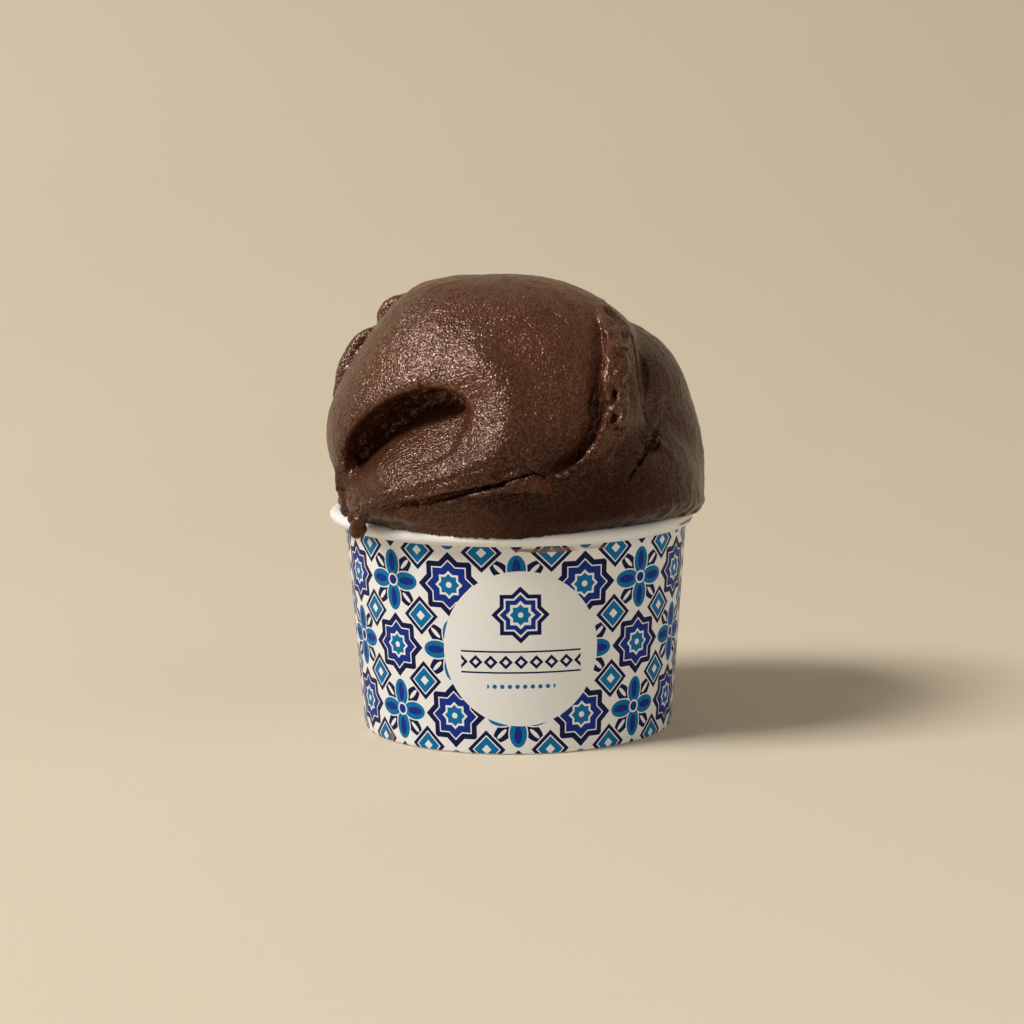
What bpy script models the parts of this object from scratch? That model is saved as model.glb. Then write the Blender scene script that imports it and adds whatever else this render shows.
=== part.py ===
"""A paper gelato cup heaped with chocolate gelato.

Three pieces: the turned paper wall with its rolled rim and folded foot, the recessed paper base,
and the gelato, one solid that fills the cup and stands over its rim as a folded-over mound.
Metres, +Z up. The origin is on the table under the middle of the cup, and +Y points to the back.
"""
import math

import bmesh
import bpy
from mathutils import Euler, Matrix, Vector

MM = 0.001

# Driving dimensions of the cup.
CUP_HEIGHT = 51.0 * MM
RIM_RADIUS = 43.3 * MM
RIM_HEIGHT = 3.2 * MM
FOOT_RADIUS = 36.42 * MM
WALL_TAPER = 0.0744
WALL_PAPER = 0.5 * MM
BASE_PAPER = 0.4 * MM
BASE_LEVEL = 5.6 * MM
FOLD_HEIGHT = 4.4 * MM
FOLD_CORNER = 0.45 * MM
BASE_CORNER = 0.4 * MM
SKIRT_END = 0.95 * MM
GAP = 0.3 * MM
TURN_STEPS = 48

# Sizes worked out from them: the middle of the paper is what the turned profiles follow.
FOLD_SPACING = WALL_PAPER + BASE_PAPER + 2 * GAP
FOOT_MIDDLE = FOOT_RADIUS - WALL_PAPER / 2
RIM_CENTRE_Z = CUP_HEIGHT - RIM_HEIGHT / 2
RIM_HALF_HEIGHT = (RIM_HEIGHT - WALL_PAPER) / 2
RIM_INNER = FOOT_MIDDLE + WALL_TAPER * RIM_CENTRE_Z
RIM_HALF_WIDTH = (RIM_RADIUS - WALL_PAPER / 2 - RIM_INNER) / 2
RIM_CENTRE_R = RIM_INNER + RIM_HALF_WIDTH
CURL_START = math.radians(180)
CURL_END = math.radians(-120)
CURL_STEPS = 10

# Gelato: how finely the lobes are fused, eased and then simplified.
FUSE_VOXEL = 1.5 * MM
FINISH_VOXEL = 0.9 * MM
SIMPLIFIED_TO = 0.031
PLUG_RADIUS = 39.3 * MM
PLUG_FOOT_RADIUS = 36.3 * MM
PLUG_TOP = 51.0 * MM
OVERHANG_LEVEL = 49.6 * MM

# Lobes of the mound in millimetres: centre, radii, turn in degrees. The dome is one taut skin
# over its lobes; the lower lobes lie behind it and under it, and are trimmed level at the rim.
DOME_LOBES = {
    "crown": ((-4.5, -3.0, 74.5), (32.0, 35.5, 31.4), (0, 0, 0)),
    "crown_left": ((-16.5, -4.0, 82.0), (19.0, 28.0, 21.8), (0, 0, 0)),
    "crown_right": ((8.0, -4.0, 82.0), (20.5, 28.0, 22.0), (0, 0, 0)),
    "cheek_left": ((-17.6, -5.0, 69.5), (26.4, 31.0, 24.0), (0, 0, 0)),
    "cheek_right": ((7.5, -12.0, 70.0), (23.5, 29.5, 18.0), (0, 0, 0)),
}
LOWER_LOBES = {
    "right_lobe": ((16.8, 6.0, 59.0), (28.0, 33.0, 39.0), (0, 0, 0)),
    "back_lobe": ((-5.0, 12.0, 64.0), (35.0, 30.8, 32.0), (0, 0, 0)),
    "collar": ((0.8, 0.0, 53.5), (43.9, 43.4, 11.0), (0, 0, 0)),
}
HOLLOW = ((-24.5, -34.0, 68.5), (17.5, 18.0, 11.0), (0, -30, 0))
TONGUE_LOBES = {
    "tongue": ((-19.0, -26.0, 60.5), (23.5, 14.5, 9.0), (10, -30, 0)),
    "tongue_root": ((-5.0, -28.5, 67.0), (13.0, 13.0, 11.0), (0, -40, 0)),
}

# Strands in millimetres: a route and the radius along it.
STRANDS = {
    "flap_edge": (((11, -38.5, 64.5), (17.5, -37, 69), (20.8, -34, 77), (21.8, -30.5, 85), (21, -25, 92)), 2.2),
    "rolled_edge": (((26, -25, 70), (26.3, -23, 80), (24.6, -17, 89), (21, -9, 95)), 3.8),
    "left_flap": (((-38.5, -6, 80), (-36, -1, 87.5), (-32.5, 2, 92)), 2.6),
    "upper_flap": (((-30.2, 1, 95.5), (-27.8, 3, 98.5)), 2.2),
    "rim_drip": (((-31, -33, 58), (-33.3, -34, 55), (-34.8, -35.2, 52.6)), 1.9),
}


def clear_objects():
    for thing in list(bpy.data.objects):
        bpy.data.objects.remove(thing, do_unlink=True)


def new_collection(name):
    group = bpy.data.collections.new(name)
    bpy.context.scene.collection.children.link(group)
    return group


def material(name, colour, roughness):
    finish = bpy.data.materials.new(name)
    finish.use_nodes = True
    shader = finish.node_tree.nodes["Principled BSDF"]
    shader.inputs["Base Color"].default_value = (*colour, 1.0)
    shader.inputs["Roughness"].default_value = roughness
    shader.inputs["Metallic"].default_value = 0.0
    finish.diffuse_color = (*colour, 1.0)
    return finish


def mesh_object(name, bm, group, finish=None):
    mesh = bpy.data.meshes.new(name)
    bm.to_mesh(mesh)
    bm.free()
    mesh.shade_smooth()
    thing = bpy.data.objects.new(name, mesh)
    group.objects.link(thing)
    if finish:
        mesh.materials.append(finish)
    return thing


def arc(centre, half_width, half_height, start, end, steps):
    """Points of an elliptical arc in the turning plane, its end points included."""
    angles = [start + (end - start) * i / steps for i in range(steps + 1)]
    return [(centre[0] + half_width * math.cos(a), centre[1] + half_height * math.sin(a)) for a in angles]


def turned(name, outline, group, finish=None, closed=False):
    """A profile of (radius, height) points turned about the Z axis."""
    bm = bmesh.new()
    corners = [bm.verts.new((r, 0.0, z)) for r, z in outline]
    for a, b in zip(corners, corners[1:]):
        bm.edges.new((a, b))
    if closed:
        bm.edges.new((corners[-1], corners[0]))
    thing = mesh_object(name, bm, group, finish)
    screw = thing.modifiers.new("turn", "SCREW")
    screw.axis = "Z"
    screw.angle = math.tau
    screw.steps = TURN_STEPS
    screw.render_steps = TURN_STEPS
    screw.use_merge_vertices = True
    screw.merge_threshold = 0.01 * MM
    screw.use_smooth_shade = True
    return thing


def thicken(thing, thickness):
    shell = thing.modifiers.new("paper", "SOLIDIFY")
    shell.thickness = thickness
    shell.offset = 0.0
    shell.use_even_offset = True


def wall_radius(z):
    """Radius of the middle of the wall's paper at a height."""
    return FOOT_MIDDLE + WALL_TAPER * z


def wall_outline():
    """From the curled-under end of the rim, over it, down the wall, and up inside the foot."""
    curl = arc((RIM_CENTRE_R, RIM_CENTRE_Z), RIM_HALF_WIDTH, RIM_HALF_HEIGHT, CURL_END, CURL_START, CURL_STEPS)
    low = WALL_PAPER / 2 + FOLD_CORNER
    outer_bend = arc((wall_radius(low) - FOLD_CORNER, low), FOLD_CORNER, FOLD_CORNER, 0, -math.pi / 2, 3)
    inner_r = wall_radius(low) - FOLD_SPACING
    inner_bend = arc((inner_r + FOLD_CORNER, low), FOLD_CORNER, FOLD_CORNER, -math.pi / 2, -math.pi, 3)
    fold_end = (wall_radius(FOLD_HEIGHT) - FOLD_SPACING, FOLD_HEIGHT)
    return curl + outer_bend + inner_bend + [fold_end]


def base_outline():
    """From the middle of the base outwards, round its corner and down its skirt inside the fold."""
    level = BASE_LEVEL - BASE_PAPER / 2
    inset = FOLD_SPACING / 2
    corner_r = wall_radius(level - BASE_CORNER) - inset - BASE_CORNER
    bend = arc((corner_r, level - BASE_CORNER), BASE_CORNER, BASE_CORNER, math.pi / 2, 0, 3)
    skirt = (wall_radius(SKIRT_END) - inset, SKIRT_END)
    return [(0.0, level)] + bend + [skirt]


def clearance_outline():
    """Section of the wall and rim grown by the gap, closed far below the cup."""
    reach = WALL_PAPER / 2 + GAP
    below = -8.0 * MM
    curl = arc(
        (RIM_CENTRE_R, RIM_CENTRE_Z),
        RIM_HALF_WIDTH + reach,
        RIM_HALF_HEIGHT + reach,
        -math.pi / 2,
        math.pi,
        14,
    )
    under = (wall_radius(RIM_CENTRE_Z) + reach, RIM_CENTRE_Z - RIM_HALF_HEIGHT - reach)
    inside = (wall_radius(below) - reach, below)
    outside = (wall_radius(below) + reach, below)
    return [outside, inside] + curl[::-1] + [under]


def ellipsoid(bm, centre, radii, turn):
    """One lobe, given in millimetres and degrees."""
    place = Matrix.LocRotScale(
        Vector(centre) * MM,
        Euler([math.radians(a) for a in turn]),
        Vector(radii) * MM,
    )
    return bmesh.ops.create_icosphere(bm, subdivisions=4, radius=1.0, matrix=place)["verts"]


def taut_skin(bm, lobes):
    """The convex skin over several lobes."""
    loose = bmesh.new()
    for lobe in lobes:
        ellipsoid(loose, *lobe)
    corners = [bm.verts.new(v.co) for v in loose.verts]
    loose.free()
    skin = bmesh.ops.convex_hull(bm, input=corners)
    inside = [v for v in skin["geom_interior"] if isinstance(v, bmesh.types.BMVert)]
    bmesh.ops.delete(bm, geom=inside, context="VERTS")


def strand_mesh(name, route, radius, group):
    """A round strand along a smooth curve, with its end caps welded, as a mesh."""
    curve = bpy.data.curves.new(name, "CURVE")
    curve.dimensions = "3D"
    curve.bevel_depth = radius * MM
    curve.bevel_resolution = 3
    curve.resolution_u = 6
    curve.use_fill_caps = True
    line = curve.splines.new("BEZIER")
    line.bezier_points.add(len(route) - 1)
    for knot, place in zip(line.bezier_points, route):
        knot.co = Vector(place) * MM
        knot.handle_left_type = "AUTO"
        knot.handle_right_type = "AUTO"
    thing = bpy.data.objects.new(name, curve)
    group.objects.link(thing)
    bpy.context.view_layer.update()
    ready = thing.evaluated_get(bpy.context.evaluated_depsgraph_get())
    mesh = bpy.data.meshes.new_from_object(ready)
    bpy.data.objects.remove(thing, do_unlink=True)
    return mesh


def add_strand(bm, name, route, radius, group):
    mesh = strand_mesh(name, route, radius, group)
    bm.from_mesh(mesh)
    for end in (route[0], route[-1]):
        place = Matrix.Translation(Vector(end) * MM)
        bmesh.ops.create_icosphere(bm, subdivisions=3, radius=radius * MM, matrix=place)


def hide_guide(thing):
    thing.hide_render = True
    thing.display_type = "WIRE"


def fuse(thing, voxel, rounds):
    """Melts overlapping shapes into one skin and eases the joints between them."""
    remesh = thing.modifiers.new("fuse", "REMESH")
    remesh.mode = "VOXEL"
    remesh.voxel_size = voxel
    ease = thing.modifiers.new("ease", "SMOOTH")
    ease.factor = 0.5
    ease.iterations = rounds


def boolean(thing, operation, other):
    step = thing.modifiers.new(operation.lower(), "BOOLEAN")
    step.operation = operation
    step.solver = "EXACT"
    step.object = other


def block(name, low, high, group):
    """A box between two heights, wider than the whole cup."""
    bm = bmesh.new()
    width = 3 * RIM_RADIUS
    place = Matrix.Translation((0, 0, (low + high) / 2)) @ Matrix.Diagonal((width, width, high - low, 1))
    bmesh.ops.create_cube(bm, size=1.0, matrix=place)
    return mesh_object(name, bm, group)


def make_plug(bm):
    """What fills the cup: its sides stand inside the wall's paper, where the clearance trims them."""
    bmesh.ops.create_cone(
        bm,
        cap_ends=True,
        segments=TURN_STEPS,
        radius1=PLUG_FOOT_RADIUS,
        radius2=PLUG_RADIUS,
        depth=PLUG_TOP - BASE_LEVEL + 2 * MM,
        matrix=Matrix.Translation((0, 0, (PLUG_TOP + BASE_LEVEL) / 2)),
    )


def make_gelato(group, guides, finish):
    bm = bmesh.new()
    taut_skin(bm, DOME_LOBES.values())
    for lobe in LOWER_LOBES.values():
        ellipsoid(bm, *lobe)
    gelato = mesh_object("gelato", bm, group, finish)
    fuse(gelato, FUSE_VOXEL, 12)

    bm = bmesh.new()
    ellipsoid(bm, *HOLLOW)
    hollow = mesh_object("hollow_cutter", bm, guides)
    boolean(gelato, "DIFFERENCE", hollow)
    level = block("rim_level_cutter", 0.0, OVERHANG_LEVEL, guides)
    boolean(gelato, "DIFFERENCE", level)

    bm = bmesh.new()
    make_plug(bm)
    for lobe in TONGUE_LOBES.values():
        ellipsoid(bm, *lobe)
    for name, (route, radius) in STRANDS.items():
        add_strand(bm, name, route, radius, guides)
    tongue = mesh_object("plug_and_tongue_guide", bm, guides)
    fuse(tongue, FUSE_VOXEL, 2)
    boolean(gelato, "UNION", tongue)

    fuse(gelato, FINISH_VOXEL, 4)
    simplify = gelato.modifiers.new("simplify", "DECIMATE")
    simplify.ratio = SIMPLIFIED_TO

    clearance = turned("cup_clearance_cutter", clearance_outline(), guides, closed=True)
    boolean(gelato, "DIFFERENCE", clearance)
    floor = block("base_clearance_cutter", -CUP_HEIGHT, BASE_LEVEL + GAP, guides)
    boolean(gelato, "DIFFERENCE", floor)
    for guide in (hollow, level, tongue, clearance, floor):
        hide_guide(guide)
    return gelato


def main():
    clear_objects()
    group = new_collection("gelato_cup")
    guides = new_collection("gelato_cup_cutters")
    paper = material("printed_paper", (0.55, 0.62, 0.74), 0.42)
    board = material("base_paper", (0.80, 0.77, 0.71), 0.6)
    chocolate = material("chocolate_gelato", (0.075, 0.038, 0.026), 0.45)
    wall = turned("cup_wall", wall_outline(), group, paper)
    thicken(wall, WALL_PAPER)
    base = turned("cup_base", base_outline(), group, board)
    thicken(base, BASE_PAPER)
    make_gelato(group, guides, chocolate)


main()
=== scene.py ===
import math

import bmesh
import bpy
import numpy as np
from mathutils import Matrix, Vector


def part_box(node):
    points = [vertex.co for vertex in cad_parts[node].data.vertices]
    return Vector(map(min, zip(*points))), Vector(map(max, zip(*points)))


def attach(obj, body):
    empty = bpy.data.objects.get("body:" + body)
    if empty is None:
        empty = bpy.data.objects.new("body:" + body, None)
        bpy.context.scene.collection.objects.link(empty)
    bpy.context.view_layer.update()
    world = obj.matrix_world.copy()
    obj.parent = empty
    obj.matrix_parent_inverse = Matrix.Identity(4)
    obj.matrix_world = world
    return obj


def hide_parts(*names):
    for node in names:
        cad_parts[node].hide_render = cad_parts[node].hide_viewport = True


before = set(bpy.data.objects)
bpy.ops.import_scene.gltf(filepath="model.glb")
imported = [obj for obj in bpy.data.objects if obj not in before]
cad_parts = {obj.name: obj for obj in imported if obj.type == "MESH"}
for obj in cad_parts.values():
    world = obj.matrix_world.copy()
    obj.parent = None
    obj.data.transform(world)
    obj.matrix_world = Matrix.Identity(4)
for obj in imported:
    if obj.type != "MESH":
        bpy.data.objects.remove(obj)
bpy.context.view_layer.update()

import openvdb
from mathutils import Matrix, Vector, noise

MM = 0.001

WALL_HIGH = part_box("cup_wall")[1] / MM
GELATO_LOW, GELATO_HIGH = (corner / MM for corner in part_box("gelato"))

# ---------------- the cup's sizes, in millimetres
CUP_HEIGHT = WALL_HIGH.z
RIM_RADIUS = WALL_HIGH.x
RIM_HEIGHT = 3.2
FOOT_RADIUS = 36.42
WALL_TAPER = 0.0744
WALL_PAPER = 0.5
FOLD_SPACING = 1.5
FOLD_HEIGHT = 4.4
FOLD_CORNER = 0.45
FOOT_MIDDLE = FOOT_RADIUS - WALL_PAPER / 2
RIM_LOW = CUP_HEIGHT - RIM_HEIGHT
RIM_CENTRE_Z = CUP_HEIGHT - RIM_HEIGHT / 2
RIM_HALF_HEIGHT = (RIM_HEIGHT - WALL_PAPER) / 2
RIM_INNER = FOOT_MIDDLE + WALL_TAPER * RIM_CENTRE_Z
RIM_HALF_WIDTH = (RIM_RADIUS - WALL_PAPER / 2 - RIM_INNER) / 2
RIM_CENTRE_R = RIM_INNER + RIM_HALF_WIDTH
# The wall is turned in steps from the back, and its glued ends overlap over the first of them.
TURN_STEPS = 240
SEAM_STEPS = 7
SEAM_RISE = 0.22
# Where the rim is pressed out and up at the left, in degrees from the back, and how far in millimetres.
PRESSED_TURN = 262
PRESSED_SPREAD = 34
PRESSED_HEIGHTS = (43.0, 49.0)
PRESSED_OUT = 0.35
PRESSED_UP = 0.9
# The share of its width that the rim's roll loses at the right.
RIM_SQUASH = 0.5

# ---------------- the gelato's forms, in millimetres
VOXEL = 0.45
# The grid starts far from any surface, and its distances are kept up to a band.
FAR_AWAY = 50.0
GRID_BAND = 3.0
GRID_MARGIN = 4.0
GRID_FLOOR = 44.0
GELATO_TRIANGLES = 190000
# The gelato inside the cup, under the grid: its radius at the top and at the foot, where it bends and ends.
PLUG_RADIUS = 39.3
PLUG_FOOT_RADIUS = 36.3
PLUG_BEND = 20.0
PLUG_GAP = 0.05
# The dome is cut level here, just over the rim, before the base layer is put under it.
DOME_FOOT = 52.0
# The base layer's top slopes up to the right, and bends up past x = BEND_FROM.
BASE_TOP = 61.5
BASE_TOP_LEAST = 54.5
BASE_SLOPE = 0.235
BASE_BEND = 0.02
BEND_FROM = 5
# Above FLARE_FROM the base layer may grow this much wider for each millimetre of height.
BASE_FLARE = 1.4
FLARE_FROM = 51.5
# Waves along the drooping edge: height, how many round the cup, and their shift in degrees.
EDGE_WAVES = [(0.16, 41, 0), (0.12, 67, 40)]
# The space left free for the rim's roll: more half width, its half height, and its mean radius.
RIM_SPARE = 0.4
RIM_CLEAR_HALF_HEIGHT = 1.65
RIM_CLEAR_RADIUS = 1.7

DOME = {
    "crown": ((-4.0, -3.0, 74.5), (30.6, 36.0, 31.0)),
    "crown_left": ((-14.0, -4.0, 80.5), (17.6, 28.0, 20.0)),
    "crown_right": ((8.6, -4.0, 82.0), (22.2, 28.0, 19.8)),
    "shoulder_left": ((-16.8, -4.0, 86.6), (12.4, 22.0, 14.4)),
    "cheek_left": ((-17.4, -6.0, 69.3), (26.2, 31.0, 22.5)),
    "cheek_right": ((8.0, -11.0, 71.0), (22.5, 29.5, 19.0)),
}
RIGHT_LOBE = ((17.0, 6.0, 58.5), (27.8, 33.0, 37.9))
RIGHT_SHOULDER = ((24.8, 4.0, 78.6), (13.9, 26.0, 12.9))
BACK_LOBE = ((-5.0, 12.0, 64.0), (35.0, 30.5, 32.0))
HOLLOW = ((-24.3, -30.6, 68.4), (18.5, 19.2, 10.8), (0, -34, 0))
TONGUE = ((-11.0, -21.5, 60.8), (29.0, 20.5, 17.0), (0, -26, 0))
BASE_LAYER = ((0.6, -0.4, 49.0), (43.0, 43.8, 45.0))
MANTLE = ((15.0, -9.0, 51.0), (27.0, 32.3, 27.0), (0, -12, 0))

# The line where the dome's skirt lies over the base layer, and then where the flap's torn lip lies over
# the dome: (x, z) seen from the front.
SEAM = [(-31.5, 55.8), (-26.7, 57.2), (-20.0, 58.7), (-15.4, 59.8), (-11.2, 60.6), (-3.6, 62.0), (3.2, 64.0)]
LIP = [(6.7, 64.0), (10.4, 64.7), (13.9, 66.5), (16.4, 68.8), (18.2, 71.6), (19.5, 74.7), (20.1, 77.5),
       (19.6, 80.2), (19.2, 83.0), (19.8, 86.0), (20.2, 89.0), (20.0, 92.0), (19.7, 95.5), (18.5, 99.5)]
# The torn band beside the lip: its lanes of strands, a share of its width apart, and its width by height.
TORN_LANES = 6
LANE_STEP = 0.17
LIP_WIDTH_AT = (64, 70, 76, 84, 94, 98)
LIP_WIDTHS = (1.5, 3.4, 4.6, 5.4, 5.8, 2.5)
FLAP_SIDE = [(24.5, 97.5), (26.2, 94.0), (27.2, 89.9), (27.6, 84.3), (28.2, 78.0), (29.0, 72.5)]
# The soft roll round the hollow's end, with its rise and half width.
ROLL_RISE = 2.4
ROLL_WIDTH = 4.8
ROLL = [(-15, 91.5), (-6, 87.0), (-2.0, 80.0), (-3.4, 72.5), (-9.2, 66.2), (-21, 61.4)]
# Soft swellings on the front, and the dish in the tongue: rows of (rise, x, z, radius).
SWELLINGS = [(2.2, 7, 66, 8.5), (0.9, -1, 66, 8)]
DISH = (-1.2, -16, 67.5, 7)
# Folds on the far side, as the skirt and the dome's folds on the front: (x, z) seen from the front.
BACK_FOLDS = {
    "skirt": [(-38, 56.5), (-26, 59.5), (-12, 58.0), (4, 60.5), (18, 59.0), (30, 62.0), (39, 59.0)],
    "sweep": [(-30, 74.0), (-20, 81.5), (-6, 85.0), (9, 83.0), (21, 76.5), (29, 68.0)],
    "top": [(2, 98.5), (11, 95.5), (19, 90.0)],
}

# Narrow features laid on the front: rows of (x, z, radius, height above the surface).
CREVICES = {
    "under_skirt": [(-25, 56.9, 0.2, -0.4), (-20, 58.0, 0.35, -0.4), (-15.4, 59.1, 0.3, -0.4),
                    (-11.2, 59.9, 0.7, -0.6), (-7, 60.7, 0.35, -0.5), (-3.6, 61.5, 0.7, -0.6),
                    (0.5, 62.9, 0.9, -0.8), (3.2, 63.9, 0.8, -0.7), (6, 64.0, 0.4, -0.3)],
    "beside_lip": [(12.6, 67.0, 0.3, -0.4), (14.6, 69.0, 1.1, -0.8), (16.4, 71.6, 1.1, -0.8),
                   (17.2, 74.4, 0.4, -0.3), (17.2, 77.2, 1.5, -1.0), (17.6, 79.6, 1.1, -0.8),
                   (18.2, 82.4, 0.3, -0.2), (18.7, 85.6, 0.6, -0.3), (19.2, 88.5, 0.2, -0.1)],
    "crack": [(32.6, 72.6, 0.2, -0.2), (31.0, 70.2, 0.8, -1.1), (29.6, 68.2, 0.9, -1.2),
              (27.9, 66.0, 0.8, -1.2), (26.2, 63.8, 0.6, -0.9), (24.2, 61.0, 0.2, -0.3)],
    "crack_side": [(32.4, 69.6, 0.2, -0.2), (31.4, 67.9, 0.6, -0.8), (30.0, 66.9, 0.3, -0.4)],
    "behind_flap": [(28.4, 88.6, 0.3, -0.1), (29.2, 85.4, 0.9, -0.5), (29.6, 82.0, 0.7, -0.4),
                    (29.4, 78.6, 0.3, -0.1)],
    "flap_side": [(25.8, 94.5, 0.3, -0.1), (27.0, 90.5, 0.8, -0.3), (27.6, 84.5, 0.7, -0.3),
                  (28.4, 78.5, 0.8, -0.3), (29.6, 73.5, 0.6, -0.3)],
    "in_lip": [(18.9, 69.0, 0.4, -0.3), (20.4, 70.8, 1.2, -1.0), (21.2, 73.4, 0.7, -0.6),
               (21.6, 76.0, 1.0, -0.8), (21.9, 78.4, 0.3, -0.2)],
    "nick_over_hollow": [(-20.4, 85.2, 0.15, 0.0), (-20.6, 83.4, 0.4, 0.1), (-20.4, 81.9, 0.6, 0.2)],
}
LIP_STRANDS = {
    "lip": [(9.0, 64.1, 0.3, 0.1), (12.5, 65.2, 0.5, 0.2), (15.4, 67.2, 0.7, 0.4), (17.6, 69.8, 0.8, 0.7),
            (19.0, 72.6, 0.8, 0.7), (20.0, 75.5, 0.8, 0.6), (20.5, 78.4, 0.75, 0.5), (20.1, 81.5, 0.9, 0.4),
            (20.2, 84.5, 1.1, 0.3), (20.9, 87.6, 1.2, 0.2), (21.6, 90.5, 0.9, 0.1), (21.3, 93.4, 0.5, 0.0)],
    "torn_face": [(22.6, 80.5, 0.6, -0.2), (22.4, 83.5, 1.2, 0.0), (22.8, 86.6, 1.5, 0.1),
                  (23.2, 89.5, 1.2, 0.0), (23.0, 92.0, 0.6, -0.2)],
    "inner_lip": [(20.6, 67.6, 0.4, 0.1), (22.4, 70.2, 0.8, 0.3), (23.2, 73.2, 0.8, 0.4),
                  (23.4, 76.2, 0.8, 0.3), (23.0, 79.4, 0.7, 0.2), (23.2, 82.4, 0.6, 0.0)],
    "seam_rim": [(-25, 56.0, 0.35, 0.0), (-20, 56.9, 0.5, 0.2), (-14, 58.0, 0.45, 0.3), (-8, 59.3, 0.5, 0.4),
                 (-3, 60.6, 0.6, 0.5), (1, 61.8, 0.7, 0.6)],
}
# A torn flake hanging over the seam's end: rows of (x, z, height above the surface, radius along x, y, z).
FLAKE = [(-12.0, 58.9, 0.3, 1.3, 0.6, 0.4), (-6.0, 60.0, 0.8, 1.5, 0.8, 0.7),
         (-1.0, 61.3, 1.6, 1.8, 1.0, 1.0), (2.6, 62.2, 2.4, 1.9, 1.2, 1.5),
         (5.4, 62.0, 3.0, 1.7, 1.3, 1.8), (7.6, 60.8, 3.0, 1.2, 1.1, 1.5)]
# Free strands: rows of (x, y, z, radius).
STRANDS = {
    "drip": [(-22.5, -40.0, 60.6, 0.6), (-27.0, -38.4, 59.6, 1.3), (-30.4, -36.2, 57.6, 1.5),
             (-33.2, -34.0, 55.0, 1.4), (-34.8, -33.2, 52.4, 1.6), (-35.2, -33.0, 50.6, 1.75)],
    "second_drip": [(-29.0, -36.6, 58.0, 0.6), (-33.0, -32.6, 56.6, 1.0), (-35.6, -30.2, 54.0, 1.1),
                    (-36.8, -29.0, 52.4, 1.0)],
    "lip_end": [(-38.6, -19.0, 65.5, 1.0), (-39.4, -18.4, 61.5, 1.6), (-39.4, -17.6, 58.0, 1.3),
                (-38.8, -17.2, 55.0, 1.1), (-38.8, -17.0, 52.6, 1.2)],
    "top_bump": [(-23.6, -3.0, 101.0, 0.8), (-21.0, -3.0, 102.6, 1.1), (-18.6, -3.0, 103.6, 0.7)],
}
# Thin flaps standing off the dome's left side: rows of (x, y, z, radius along x, y, z).
LEFT_FLAPS = {
    "upper": [(-30.4, 1.0, 94.2, 0.9, 1.5, 1.0), (-30.6, 1.0, 96.2, 1.2, 1.6, 1.5),
              (-29.3, 1.0, 98.3, 1.4, 1.6, 1.3), (-27.2, 1.0, 99.8, 1.2, 1.5, 0.8)],
    "lower": [(-34.0, 2.0, 92.2, 1.0, 1.4, 0.9), (-36.4, 2.0, 90.1, 1.3, 1.6, 1.4),
              (-38.0, 2.0, 87.4, 1.5, 1.7, 1.7), (-39.6, 1.0, 84.3, 1.5, 1.7, 1.9),
              (-40.6, 1.0, 81.1, 1.4, 1.6, 1.9), (-41.1, 0.0, 77.6, 1.2, 1.4, 1.7)],
    "lower_edge": [(-35.6, -4.0, 86.4, 0.6, 0.8, 0.9), (-37.6, -4.0, 83.3, 0.8, 0.8, 1.4),
                   (-39.0, -4.0, 79.9, 0.8, 0.8, 1.5), (-40.4, -5.0, 76.4, 0.7, 0.8, 1.3)],
}
# What backs each flap where it cannot be seen from the front, as shifts of its rows.
FLAP_BACKING = (1.2, 4.0, 0.0, 0.2, 1.6, 0.1)
# Fine creases on the front, with their depth and half width.
CREASE_DEPTH = 0.5
CREASE_WIDTH = 0.55
CREASES = [
    [(-14.5, 63.6), (-8, 65.4), (-1, 68.0), (3, 70.2)],
    [(-11, 62.6), (-4, 64.0), (2, 66.2)],
    [(-24, 60.2), (-17, 62.0), (-10, 63.9)],
    [(-28, 58.6), (-20, 60.0), (-13, 61.6)],
    [(-10.4, 74.0), (-10.6, 70.0), (-13.6, 66.8), (-19.0, 64.6)],
    [(-13.4, 73.0), (-13.6, 70.2), (-16.0, 67.8), (-20.5, 66.2)],
    [(8.5, 101.5), (13.0, 98.8), (16.4, 94.6)],
    [(5.5, 99.0), (10.0, 96.8), (13.4, 93.4)],
]
# Torn, knobbly places on the front: (x, z, half width, half height).
TORN = [(22.6, 86.5, 3.4, 6.5), (20.6, 74.0, 3.4, 7.5), (-1.0, 61.6, 9.0, 1.5), (-22.0, 57.4, 9.0, 1.5),
        (-33.5, 55.0, 4.5, 6.0), (-39.0, 59.0, 3.0, 7.0)]
# The skin's grain and the rougher one of torn places: (height, size of its lumps).
SKIN_GRAIN = ((0.16, 3.4), (0.12, 1.4))
TORN_GRAIN = ((0.5, 1.9), (0.3, 1.0))
# How far the base layer hangs over the rim: rows of (degrees from +X, radius, height of its lower edge).
DROOP = [(-180, 39.9, 51.2), (-160, 39.4, 51.2), (-150, 41.0, 51.0), (-143, 42.2, 50.6), (-135, 42.8, 50.2),
         (-127, 43.3, 50.0), (-117, 43.8, 49.8), (-105, 44.3, 49.5), (-95, 44.4, 49.4), (-86, 44.3, 49.8),
         (-77, 43.9, 50.4), (-63, 43.2, 50.9), (-45, 42.5, 51.0), (-30, 42.5, 50.9), (-14, 43.3, 50.3),
         (0, 43.8, 50.0), (14, 43.5, 50.2), (30, 42.8, 50.6), (90, 42.4, 50.8), (135, 42.0, 50.8),
         (180, 39.9, 51.2)]


def smooth_step(low, high, value):
    t = np.clip((value - low) / (high - low), 0, 1)
    return t * t * (3 - 2 * t)


def blend_min(a, b, blend):
    """The lesser of two fields, with the corner between them rounded over a width."""
    h = np.maximum(blend - np.abs(a - b), 0) / blend
    return np.minimum(a, b) - h * h * (blend / 4)


def blend_max(a, b, blend):
    return -blend_min(-a, -b, blend)


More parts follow.
